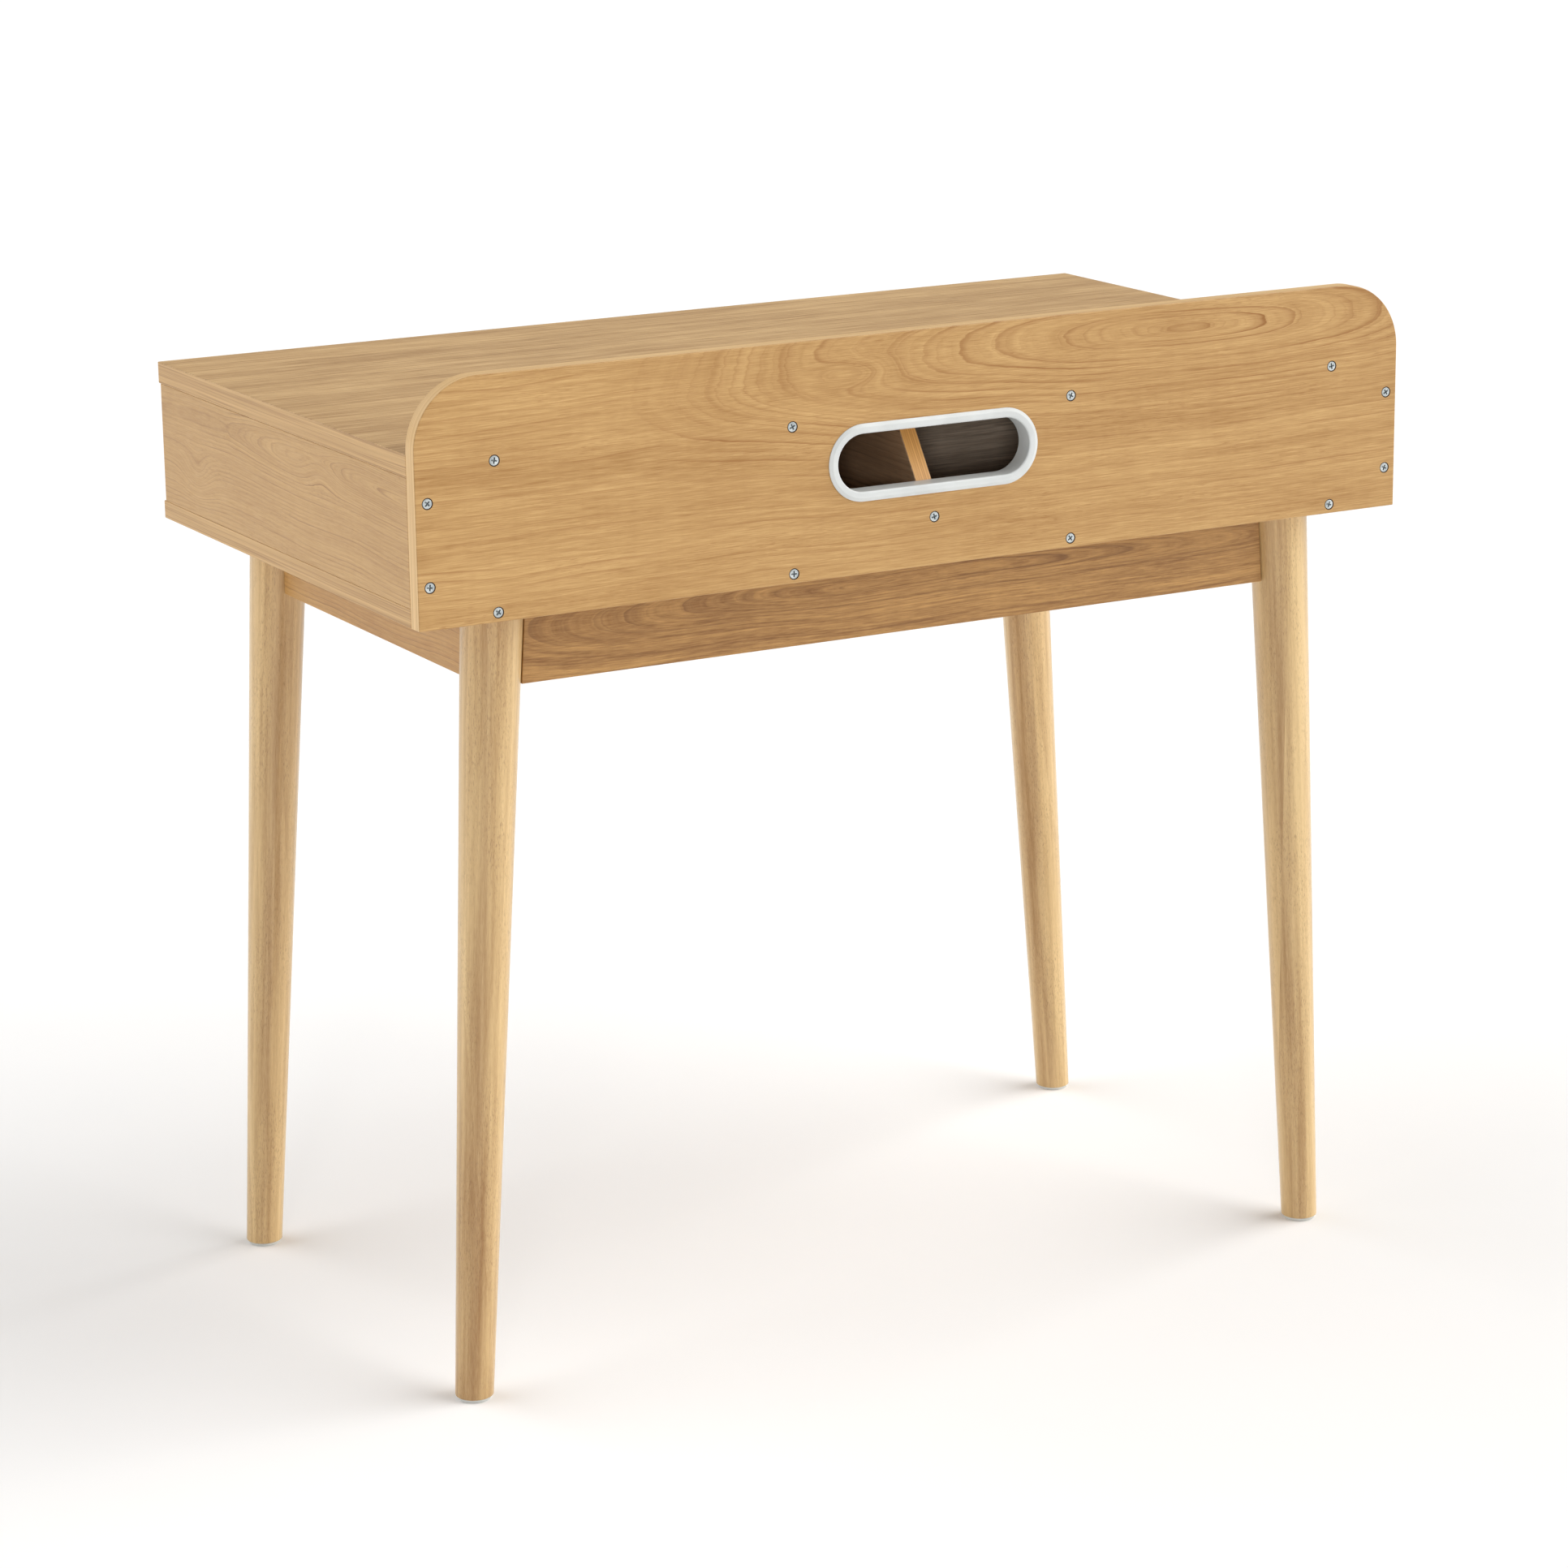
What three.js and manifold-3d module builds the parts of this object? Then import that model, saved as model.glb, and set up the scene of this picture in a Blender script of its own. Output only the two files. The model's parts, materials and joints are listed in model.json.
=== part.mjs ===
// Writing desk with two drawers, a raised back board and four splayed round legs.
//
// Millimetres, +Z up. The user sits at -Y, the back board is at +Y, left and right are the
// user's own: left is -X. The origin is on the floor, under the middle of the whole desk,
// from the front of the drawer knobs to the rear face of the cable grommet.

import * as THREE from 'three';
import { mergeVertices } from 'three/addons/utils/BufferGeometryUtils.js';
import Module from 'manifold-3d';

const wasm = await Module();
wasm.setup();

// ---------------------------------------------------------------- driving dimensions

const width = 900;            // over the side panels
const depth = 512;            // front edge of the worktop to the rear face of the back board
const height = 832;           // floor to the top of the back board
const worktopHeight = 775;    // floor to the worktop's upper face
const boxHeight = 133;        // worktop's upper face to the bottom panel's underside

const topThickness = 18;
const bottomThickness = 15;
const sideThickness = 18;
const dividerThickness = 15;
const backThickness = 15;
const backCornerRadius = 55;
const frontSetback = 4;       // side panels and drawer fronts stand behind the worktop's edge
const dividerNotch = { height: 51.5, depth: 34.5 };   // slanted corner that frees the grommet

const fitGap = 0.3;           // between a piece and a curved or turned neighbour
const sides = [['left', -1], ['right', 1]];

const leg = {
  topRadius: 24.5, bottomRadius: 15.5, edge: 1.5,
  topX: 366.5, footX: { front: 408.5, rear: 402 },   // leg axis at the bottom panel and the floor
  fromRear: 49.5, fromFront: 48,   // leg axis to the desk's rear face and front edge
  nailHole: { radius: 1.6, depth: 18 },
};
const glide = { radius: 13.5, height: 2.5, edge: 0.8, nailRadius: 1.2, nailLength: 16 };
const apron = { thickness: 15, height: 61.5 };
const legBolt = { radius: 4, inLeg: 30, inPanel: 12 };

const screw = { headRadius: 4, headHeight: 2, shankRadius: 2, length: 35, point: 4, sunk: 0.3 };
const screwColumns = [-384, -128, 128, 384];
const sideScrewInset = { outer: 10, end: 18 };   // from the side panel's outer face, and its ends

const grommet = {
  width: 192, height: 62, proud: 2, rim: 8, tubeWall: 3.5, belowTop: 43.5,
};

const drawer = {
  gap: 2, frontThickness: 15, length: 300, boxWidth: 404, boxHeight: 70, boxLift: 9,
  sideThickness: 12, backThickness: 12, bottomThickness: 4,
  grooveDepth: 5, grooveLift: 8, grooveGap: 0.25,
};
const knob = {
  radius: 15, neckRadius: 8.5, length: 22, screwDepth: 12,
  dome: 5, rim: 3, taper: 6, flare: 1.5,   // lengths along it from the front, and the foot's flare
};
const knobScrew = { headRadius: 4, headHeight: 2.5, shankRadius: 2, inKnob: 10 };
const runner = { length: 296, sheet: 1.2, cabinetHeight: 27, cabinetWidth: 8,
  drawerHeight: 17, drawerWidth: 6 };

// ---------------------------------------------------------------- places worked out from them

const knobReach = knob.length - frontSetback;             // how far a knob passes the worktop's edge
const rearY = (depth + knobReach + grommet.proud) / 2 - grommet.proud;
const frontY = rearY - depth;
const carcaseFrontY = frontY + frontSetback;
const backInnerY = rearY - backThickness;

const topZ = { low: worktopHeight - topThickness, high: worktopHeight };
const undersideZ = worktopHeight - boxHeight;
const bottomZ = { low: undersideZ, high: undersideZ + bottomThickness };
const insideHeight = topZ.low - bottomZ.high;

const grommetZ = worktopHeight - grommet.belowTop;
const legY = { front: frontY + leg.fromFront, rear: rearY - leg.fromRear };
const legLength = undersideZ - glide.height;
const sideScrewX = width / 2 - sideScrewInset.outer;

const bayInnerX = dividerThickness / 2;
const bayOuterX = width / 2 - sideThickness;
const bayMiddleX = (bayInnerX + bayOuterX) / 2;
const bayWidth = bayOuterX - bayInnerX;
const drawerLowZ = bottomZ.high + drawer.boxLift;
const drawerFrontInnerY = carcaseFrontY + drawer.frontThickness;
const runnerZ = drawerLowZ + drawer.boxHeight / 2;
const knobZ = (bottomZ.high + topZ.low) / 2;

// ---------------------------------------------------------------- materials

function paint(color, roughness, metalness = 0) {
  return new THREE.MeshStandardMaterial({ color, roughness, metalness });
}

const backLaminate = paint(0xcda064, 0.45);
const topLaminate = paint(0xc8a878, 0.45);
const sideLaminate = paint(0xd0ac80, 0.45);
const innerLaminate = paint(0xbd9160, 0.5);
const rubberwood = paint(0xd6b27f, 0.4);
const drawerBoard = paint(0xdcc7a0, 0.5);
const whitePlastic = paint(0xe4e6e6, 0.35);
const greyPlastic = paint(0xc9c9c4, 0.4);
const zincSteel = paint(0xbec8cd, 0.3, 1);

// ---------------------------------------------------------------- solids, cuts and joins

// A closed manifold-3d solid from a three.js geometry.
function toSolid(geometry) {
  const bare = geometry.clone();
  bare.deleteAttribute('normal');
  bare.deleteAttribute('uv');
  const merged = mergeVertices(bare);
  const corners = merged.index.array;
  const kept = [];
  for (let i = 0; i < corners.length; i += 3) {
    const [a, b, c] = [corners[i], corners[i + 1], corners[i + 2]];
    if (a !== b && b !== c && c !== a) kept.push(a, b, c);
  }
  return new wasm.Manifold(new wasm.Mesh({
    numProp: 3,
    vertProperties: new Float32Array(merged.attributes.position.array),
    triVerts: new Uint32Array(kept),
  }));
}

function toGeometry(solid) {
  const mesh = solid.getMesh();
  const geometry = new THREE.BufferGeometry();
  geometry.setAttribute('position', new THREE.BufferAttribute(new Float32Array(mesh.vertProperties), 3));
  geometry.setIndex(new THREE.BufferAttribute(new Uint32Array(mesh.triVerts), 1));
  geometry.computeVertexNormals();
  return geometry;
}

function cut(geometry, cutters) {
  let solid = toSolid(geometry);
  for (const cutter of cutters) solid = solid.subtract(toSolid(cutter));
  return toGeometry(solid);
}

function join(first, second) {
  return toGeometry(toSolid(first).add(toSolid(second)));
}

// ---------------------------------------------------------------- shapes

// A round solid about its own Y axis, from [radius, y] points that run upward.
function turned(points, segments) {
  return new THREE.LatheGeometry(points.map(([r, y]) => new THREE.Vector2(r, y)), segments);
}

function standing(geometry) {
  return geometry.rotateX(Math.PI / 2);   // own Y becomes +Z
}

// An outline in X and Z, extruded along Y, with its middle plane at y = 0.
function plateInXZ(shape, thickness) {
  const options = { depth: thickness, bevelEnabled: false, curveSegments: 6 };
  const geometry = new THREE.ExtrudeGeometry(shape, options);
  return geometry.translate(0, 0, -thickness / 2).rotateX(Math.PI / 2);
}

// An outline in Y and Z, extruded along X, with its middle plane at x = 0.
function plateInYZ(shape, thickness) {
  const geometry = new THREE.ExtrudeGeometry(shape, { depth: thickness, bevelEnabled: false });
  const axes = new THREE.Matrix4().makeBasis(
    new THREE.Vector3(0, 1, 0), new THREE.Vector3(0, 0, 1), new THREE.Vector3(1, 0, 0));
  return geometry.translate(0, 0, -thickness / 2).applyMatrix4(axes);
}

// A block between two corners.
function boxBetween(low, high) {
  const size = high.map((value, i) => value - low[i]);
  return new THREE.BoxGeometry(...size).translate(...high.map((value, i) => (value + low[i]) / 2));
}

function polygon(points) {
  return new THREE.Shape(points.map(([x, y]) => new THREE.Vector2(x, y)));
}

// A slot outline with half-round ends, about the point (0, middle).
function stadium(Outline, length, across, middle = 0) {
  const radius = across / 2;
  const reach = length / 2 - radius;
  const outline = new Outline();
  outline.absarc(reach, middle, radius, -Math.PI / 2, Math.PI / 2);
  outline.absarc(-reach, middle, radius, Math.PI / 2, Math.PI * 1.5);
  return outline;
}

// A channel outline: a web of the given height with two flanges that reach towards +X.
function channelOutline(high, reach, sheet) {
  const top = high / 2;
  return polygon([[0, -top], [reach, -top], [reach, sheet - top], [sheet, sheet - top],
    [sheet, top - sheet], [reach, top - sheet], [reach, top], [0, top]]);
}

// ---------------------------------------------------------------- scene graph

const desk = new THREE.Group();

function place(parent, name, geometry, material, position = [0, 0, 0]) {
  const mesh = new THREE.Mesh(geometry, material);
  mesh.name = name;
  mesh.position.set(...position);
  parent.add(mesh);
  return mesh;
}

function groupAt(position) {
  const group = new THREE.Group();
  group.position.set(...position);
  desk.add(group);
  return group;
}

// A rectangular board between two corners. Its cutters are placed in the parent's frame.
function board(parent, name, low, high, material, cutters = []) {
  const size = high.map((value, i) => value - low[i]);
  const middle = high.map((value, i) => (value + low[i]) / 2);
  let geometry = new THREE.BoxGeometry(...size);
  if (cutters.length) {
    const local = cutters.map((c) => c.clone().translate(...middle.map((value) => -value)));
    geometry = cut(geometry, local);
  }
  return place(parent, name, geometry, material, middle);
}

// ---------------------------------------------------------------- back screws and their holes

const roundSegments = 16;
const screwSeatY = rearY - screw.sunk;

function screwGeometry() {
  const r = screw.shankRadius;
  return turned([[0, -screw.length], [r, screw.point - screw.length], [r, -screw.headHeight],
    [screw.headRadius, 0], [0, 0]], roundSegments);
}

// The countersunk hole through the back board, a little wider than the screw all along.
function countersink(x, z) {
  const r = screw.shankRadius + fitGap;
  const wide = screw.headRadius + 2 * fitGap;
  const beyond = 1;
  return turned([[0, -backThickness - beyond], [r, -backThickness - beyond],
    [r, -screw.headHeight - screw.sunk], [wide, 0], [wide, beyond], [0, beyond]], roundSegments)
    .translate(x, rearY, z);
}

// The blind hole in a board's rear edge.
function pilotHole(x, z) {
  const bottom = -screw.length - fitGap;
  return turned([[0, bottom], [screw.shankRadius + fitGap, bottom],
    [screw.shankRadius + fitGap, 0], [0, 0]], roundSegments).translate(x, screwSeatY, z);
}

const topScrewZ = (topZ.low + topZ.high) / 2;
const bottomScrewZ = (bottomZ.low + bottomZ.high) / 2;
const dividerScrewZ = (bottomZ.high + topZ.low - dividerNotch.height) / 2;
const backScrews = [
  ...screwColumns.map((x, i) => ({ name: `back_screw_top_${i + 1}`, x, z: topScrewZ })),
  ...screwColumns.map((x, i) => ({ name: `back_screw_bottom_${i + 1}`, x, z: bottomScrewZ })),
  ...sides.flatMap(([name, side]) => [
    { name: `back_screw_${name}_upper`, x: side * sideScrewX, z: topZ.low - sideScrewInset.end },
    { name: `back_screw_${name}_lower`, x: side * sideScrewX, z: bottomZ.high + sideScrewInset.end },
  ]),
  { name: 'back_screw_divider', x: 0, z: dividerScrewZ },
];

function pilotHolesFor(prefix) {
  return backScrews.filter((s) => s.name.startsWith(prefix)).map((s) => pilotHole(s.x, s.z));
}

for (const { name, x, z } of backScrews) {
  place(desk, name, screwGeometry(), zincSteel, [x, screwSeatY, z]);
}

// ---------------------------------------------------------------- carcase

// How far a front or rear leg's axis moves outward for each millimetre down.
function leanOf(end) {
  return (leg.footX[end] - leg.topX) / undersideZ;
}

const legPlaces = ['front', 'rear'].flatMap((end) => sides.map(([name, side]) => (
  { name: `${end}_${name}`, x: side * leg.topX, y: legY[end], lean: side * leanOf(end) }
)));

// The blind hole for a leg bolt, up into the bottom panel and down into the leg.
function boltHole(x, y, z) {
  const r = legBolt.radius + fitGap;
  return standing(turned([[0, -legBolt.inLeg - 1], [r, -legBolt.inLeg - 1],
    [r, legBolt.inPanel + 1], [0, legBolt.inPanel + 1]], roundSegments)).translate(x, y, z);
}

function buildCarcase() {
  const half = width / 2;
  board(desk, 'top_panel', [-half, frontY, topZ.low], [half, backInnerY, topZ.high],
    topLaminate, pilotHolesFor('back_screw_top'));

  const boltHoles = legPlaces.map((p) => boltHole(p.x, p.y, undersideZ));
  board(desk, 'bottom_panel', [-half, frontY, bottomZ.low], [half, backInnerY, bottomZ.high],
    sideLaminate, [...pilotHolesFor('back_screw_bottom'), ...boltHoles]);

  board(desk, 'side_panel_left', [-half, carcaseFrontY, bottomZ.high],
    [sideThickness - half, backInnerY, topZ.low], sideLaminate, pilotHolesFor('back_screw_left'));
  board(desk, 'side_panel_right', [half - sideThickness, carcaseFrontY, bottomZ.high],
    [half, backInnerY, topZ.low], sideLaminate, pilotHolesFor('back_screw_right'));
}

// The divider's upper rear corner is cut away on a slant, so that cables can cross
// behind it from the grommet to either bay.
function buildDivider() {
  const outline = polygon([[carcaseFrontY, 0], [backInnerY, 0],
    [backInnerY, insideHeight - dividerNotch.height],
    [backInnerY - dividerNotch.depth, insideHeight], [carcaseFrontY, insideHeight]]);
  const holes = pilotHolesFor('back_screw_divider').map((h) => h.translate(0, 0, -bottomZ.high));
  const geometry = cut(plateInYZ(outline, dividerThickness), holes);
  place(desk, 'center_divider', geometry, innerLaminate, [0, 0, bottomZ.high]);
}

// The back board stands up past the worktop, with rounded upper corners.
function buildBackPanel() {
  const high = height - undersideZ;
  const cornerX = width / 2 - backCornerRadius;
  const cornerZ = high - backCornerRadius;
  const outline = new THREE.Shape();
  outline.absarc(cornerX, cornerZ, backCornerRadius, 0, Math.PI / 2);
  outline.absarc(-cornerX, cornerZ, backCornerRadius, Math.PI / 2, Math.PI);
  outline.lineTo(-width / 2, 0);
  outline.lineTo(width / 2, 0);
  const tubeGap = 0.5;
  const tube = grommetTube();
  outline.holes.push(stadium(THREE.Path, tube.length + 2 * tubeGap, tube.across + 2 * tubeGap,
    grommetZ - undersideZ));
  const middleY = rearY - backThickness / 2;
  const holes = backScrews.map((s) => countersink(s.x, s.z).translate(0, -middleY, -undersideZ));
  const geometry = cut(plateInXZ(outline, backThickness), holes);
  place(desk, 'back_panel', geometry, backLaminate, [0, middleY, undersideZ]);
}

// ---------------------------------------------------------------- cable grommet

function grommetOpening() {
  return { length: grommet.width - 2 * grommet.rim, across: grommet.height - 2 * grommet.rim };
}

function grommetTube() {
  const opening = grommetOpening();
  return { length: opening.length + 2 * grommet.tubeWall, across: opening.across + 2 * grommet.tubeWall };
}

function slotRing(outer, thickness) {
  const opening = grommetOpening();
  const ring = stadium(THREE.Shape, outer.length, outer.across);
  ring.holes.push(stadium(THREE.Path, opening.length, opening.across));
  return plateInXZ(ring, thickness);
}

function buildGrommet() {
  const flange = slotRing({ length: grommet.width, across: grommet.height }, grommet.proud)
    .translate(0, grommet.proud / 2, 0);
  const tube = slotRing(grommetTube(), backThickness).translate(0, -backThickness / 2, 0);
  place(desk, 'cable_grommet', join(flange, tube), whitePlastic, [0, rearY, grommetZ]);
}

// ---------------------------------------------------------------- legs, glides and aprons

// Slants a standing solid towards +X as it goes down from z = 0, keeping its ends level.
function slanted(geometry, lean) {
  return geometry.applyMatrix4(new THREE.Matrix4().makeShear(0, 0, 0, 0, -lean, 0));
}

function legRadiusAt(down) {
  return leg.topRadius - (leg.topRadius - leg.bottomRadius) * down / legLength;
}

function legGeometry(lean) {
  const hole = leg.nailHole;
  const profile = [[0, hole.depth], [hole.radius, hole.depth], [hole.radius, 0],
    [leg.bottomRadius - leg.edge, 0], [leg.bottomRadius, leg.edge],
    [leg.topRadius, legLength], [0, legLength]];
  const body = slanted(standing(turned(profile, 32)).translate(0, 0, -legLength), lean);
  return cut(body, [boltHole(0, 0, 0)]);
}

function glideGeometry(lean) {
  const { radius, height: thick, edge, nailRadius, nailLength } = glide;
  const profile = [[0, 0], [radius - edge, 0], [radius, edge], [radius, thick],
    [nailRadius, thick], [nailRadius, nailLength], [0, nailLength + nailRadius]];
  return slanted(standing(turned(profile, 24)).translate(0, 0, -undersideZ), lean);
}

function boltGeometry() {
  const { radius, inLeg, inPanel } = legBolt;
  return standing(turned([[0, -inLeg], [radius, radius - inLeg], [radius, inPanel - 1],
    [radius - 1, inPanel], [0, inPanel]], roundSegments));
}

function buildLegs() {
  for (const { name, x, y, lean } of legPlaces) {
    const mount = groupAt([x, y, undersideZ]);
    place(mount, `leg_${name}`, legGeometry(lean), rubberwood);
    place(mount, `glide_${name}`, glideGeometry(lean), greyPlastic);
    place(mount, `leg_bolt_${name}`, boltGeometry(), zincSteel);
  }
}

// The front and rear aprons end square against the legs' inner sides, which lean out.
function crossApronOutline(end) {
  const endAt = (down) => leg.topX + leanOf(end) * down - legRadiusAt(down) - fitGap;
  const topX = endAt(0);
  const lowX = endAt(apron.height);
  return polygon([[-lowX, -apron.height], [lowX, -apron.height], [topX, 0], [-topX, 0]]);
}

function sideApronOutline() {
  const lowReach = legRadiusAt(apron.height) + fitGap;
  const topReach = leg.topRadius + fitGap;
  return polygon([[legY.front + lowReach, -apron.height], [legY.rear - lowReach, -apron.height],
    [legY.rear - topReach, 0], [legY.front + topReach, 0]]);
}

function buildAprons() {
  for (const end of ['front', 'rear']) {
    place(desk, `apron_${end}`, plateInXZ(crossApronOutline(end), apron.thickness), rubberwood,
      [0, legY[end], undersideZ]);
  }
  for (const [name, side] of sides) {
    place(desk, `apron_${name}`, plateInYZ(sideApronOutline(), apron.thickness), rubberwood,
      [side * leg.topX, 0, undersideZ]);
  }
}

// ---------------------------------------------------------------- drawers and runners

// A drawer side, with the groove that holds the drawer's bottom in its inner face.
// inward is 1 where the drawer's inside lies towards +X, and -1 where it lies towards -X.
function drawerSideGeometry(inward) {
  const { sideThickness: t, boxHeight: high, grooveDepth, grooveLift, grooveGap } = drawer;
  const low = grooveLift - grooveGap;
  const top = grooveLift + drawer.bottomThickness + grooveGap;
  const outline = [[0, 0], [t, 0], [t, low], [t - grooveDepth, low], [t - grooveDepth, top],
    [t, top], [t, high], [0, high]].map(([x, z]) => [inward * x, z]);
  if (inward < 0) outline.reverse();
  return plateInXZ(polygon(outline), drawer.length);
}

// A runner channel that opens towards +X, or towards -X where direction is -1.
function runnerGeometry(high, reach, direction) {
  const geometry = plateInXZ(channelOutline(high, reach, runner.sheet), runner.length);
  return direction > 0 ? geometry : geometry.rotateZ(Math.PI);
}

function knobGeometry() {
  const { radius, neckRadius, length, screwDepth, dome, rim, taper, flare } = knob;
  const hole = knobScrew.shankRadius + fitGap;
  const points = [];
  const steps = 5;
  for (let i = 0; i <= steps; i += 1) {
    const angle = (i / steps) * Math.PI / 2;
    points.push([radius * Math.sin(angle), -length + dome * (1 - Math.cos(angle))]);
  }
  points.push([radius, dome + rim - length], [neckRadius, dome + rim + taper - length],
    [neckRadius, -flare], [neckRadius + flare, 0], [hole, 0], [hole, -screwDepth], [0, -screwDepth]);
  return turned(points, 24);
}

function knobScrewGeometry() {
  const { headRadius, headHeight, shankRadius, inKnob } = knobScrew;
  return turned([[0, -drawer.frontThickness - inKnob], [shankRadius, -drawer.frontThickness - inKnob],
    [shankRadius, 0], [headRadius, 0], [headRadius, headHeight - 1],
    [headRadius - 1, headHeight], [0, headHeight]], roundSegments);
}

function buildDrawer(name, side) {
  const group = groupAt([side * bayMiddleX, drawerFrontInnerY, drawerLowZ]);
  const halfFront = bayWidth / 2 - drawer.gap;
  const halfBox = drawer.boxWidth / 2;
  const frontLow = bottomZ.high + drawer.gap - drawerLowZ;
  const frontHigh = topZ.low - drawer.gap - drawerLowZ;
  const knobHeight = knobZ - drawerLowZ;

  const hole = turned([[0, -drawer.frontThickness - 1],
    [knobScrew.shankRadius + fitGap, -drawer.frontThickness - 1],
    [knobScrew.shankRadius + fitGap, 1], [0, 1]], roundSegments).translate(0, 0, knobHeight);
  board(group, `drawer_${name}_front`, [-halfFront, -drawer.frontThickness, frontLow],
    [halfFront, 0, frontHigh], sideLaminate, [hole]);

  for (const [wall, toSide] of [['inner', -side], ['outer', side]]) {
    place(group, `drawer_${name}_side_${wall}`, drawerSideGeometry(-toSide), drawerBoard,
      [toSide * halfBox, drawer.length / 2, 0]);
    const channel = runnerGeometry(runner.drawerHeight, runner.drawerWidth, toSide);
    place(group, `drawer_${name}_runner_${wall}`, channel, zincSteel,
      [toSide * halfBox, drawer.length / 2, drawer.boxHeight / 2]);
  }

  const insideX = halfBox - drawer.sideThickness;
  const insideY = drawer.length - drawer.backThickness;
  const floorLow = drawer.grooveLift;
  const floorHigh = floorLow + drawer.bottomThickness;
  const tongue = drawer.grooveDepth - drawer.grooveGap;   // how far the bottom enters a groove
  const groove = boxBetween([-halfBox, insideY - 1, floorLow - drawer.grooveGap],
    [halfBox, insideY + drawer.grooveDepth, floorHigh + drawer.grooveGap]);
  board(group, `drawer_${name}_back`, [-insideX, insideY, 0],
    [insideX, drawer.length, drawer.boxHeight], drawerBoard, [groove]);
  board(group, `drawer_${name}_bottom`, [-insideX - tongue, 0, floorLow],
    [insideX + tongue, insideY + tongue, floorHigh], drawerBoard);

  place(group, `drawer_${name}_knob`, knobGeometry(), rubberwood,
    [0, -drawer.frontThickness, knobHeight]);
  place(group, `drawer_${name}_knob_screw`, knobScrewGeometry(), zincSteel, [0, 0, knobHeight]);
}

// The fixed half of each runner, on the side panel and on the divider.
function buildCabinetRunners(name, side) {
  const middleY = drawerFrontInnerY + drawer.length / 2;
  for (const [wall, x, open] of [['inner', bayInnerX, side], ['outer', bayOuterX, -side]]) {
    const channel = runnerGeometry(runner.cabinetHeight, runner.cabinetWidth, open);
    place(desk, `cabinet_runner_${name}_${wall}`, channel, zincSteel, [side * x, middleY, runnerZ]);
  }
}

// ---------------------------------------------------------------- the desk

buildCarcase();
buildDivider();
buildBackPanel();
buildGrommet();
buildLegs();
buildAprons();
for (const [name, side] of sides) {
  buildDrawer(name, side);
  buildCabinetRunners(name, side);
}

export default desk;
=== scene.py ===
"""Looks of the writing desk: detailed boards, legs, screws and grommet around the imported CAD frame.

Metres, +Z up. The user sits at -Y, and the back board with its cable grommet is at +Y.
"""
import json
import math

import bmesh
import bpy
from mathutils import Matrix, Quaternion, Vector


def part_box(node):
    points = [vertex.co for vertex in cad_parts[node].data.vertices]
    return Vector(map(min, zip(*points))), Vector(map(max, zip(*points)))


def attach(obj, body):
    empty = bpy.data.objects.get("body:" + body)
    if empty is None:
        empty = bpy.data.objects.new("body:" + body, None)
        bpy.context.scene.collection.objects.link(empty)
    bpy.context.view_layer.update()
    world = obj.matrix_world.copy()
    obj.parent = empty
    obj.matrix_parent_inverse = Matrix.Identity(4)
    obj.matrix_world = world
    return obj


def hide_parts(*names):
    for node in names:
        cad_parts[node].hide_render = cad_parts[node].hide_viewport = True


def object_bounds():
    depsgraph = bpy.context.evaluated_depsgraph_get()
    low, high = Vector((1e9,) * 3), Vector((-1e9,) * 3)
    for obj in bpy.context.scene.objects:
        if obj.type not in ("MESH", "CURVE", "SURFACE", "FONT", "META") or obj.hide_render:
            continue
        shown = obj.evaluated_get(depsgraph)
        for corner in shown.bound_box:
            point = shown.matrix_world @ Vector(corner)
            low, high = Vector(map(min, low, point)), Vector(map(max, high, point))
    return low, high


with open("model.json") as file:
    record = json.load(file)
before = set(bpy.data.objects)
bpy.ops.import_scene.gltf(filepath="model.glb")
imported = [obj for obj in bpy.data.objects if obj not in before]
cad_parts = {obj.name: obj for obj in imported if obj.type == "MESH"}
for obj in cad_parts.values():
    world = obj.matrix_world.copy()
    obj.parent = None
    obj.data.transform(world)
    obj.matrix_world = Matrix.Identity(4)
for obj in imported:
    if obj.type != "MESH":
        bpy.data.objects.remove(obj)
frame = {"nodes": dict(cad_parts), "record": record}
cad_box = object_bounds()
NODES = frame["nodes"]
BODY_OF = {n: b for b, members in frame["record"]["behaviour"]["bodies"].items() for n in members}

MM = 0.001

# ---------------------------------------------------------------- camera and studio

# Angles in degrees. Azimuth 0 looks at the drawers, and 180 at the back board.
VIEW = {"azimuth": 151.0, "elevation": 14.87, "roll": -0.72, "distance": 3.866, "lens": 103.8}
AIM_FROM_MIDDLE = Vector((0.0016, 0.0151, -0.0102))
SENSOR_WIDTH = 36

# Each light: degrees to the right of the camera as seen from the desk, elevation, irradiance,
# spread in degrees, tint.
LIGHTS = {
    "softbox_right": (92, 36, 0.95, 70, (1.0, 0.99, 0.97)),
    "softbox_left": (-95, 36, 0.46, 70, (1, 1, 1)),
    "camera_fill": (-2, 8, 0.16, 8, (1, 1, 1)),
}
LIGHT_DISTANCE = 4
WORLD_STRENGTH = 0.31
FLOOR_SIZE = 40


def outward(azimuth, elevation):
    """The unit vector from the desk towards these angles."""
    turn, rise = math.radians(azimuth), math.radians(elevation)
    return Vector((math.sin(turn) * math.cos(rise), -math.cos(turn) * math.cos(rise),
                   math.sin(rise)))


def add_camera():
    back = outward(VIEW["azimuth"], VIEW["elevation"])
    middle = (cad_box[0] + cad_box[1]) / 2
    data = bpy.data.cameras.new("camera")
    data.sensor_width = SENSOR_WIDTH
    data.lens = VIEW["lens"]
    camera = bpy.data.objects.new("camera", data)
    camera.location = middle + AIM_FROM_MIDDLE + back * VIEW["distance"]
    roll = Quaternion((0, 0, 1), math.radians(VIEW["roll"]))
    camera.rotation_mode = "QUATERNION"
    camera.rotation_quaternion = (-back).to_track_quat("-Z", "Y") @ roll
    bpy.context.scene.collection.objects.link(camera)
    bpy.context.scene.camera = camera


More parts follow.
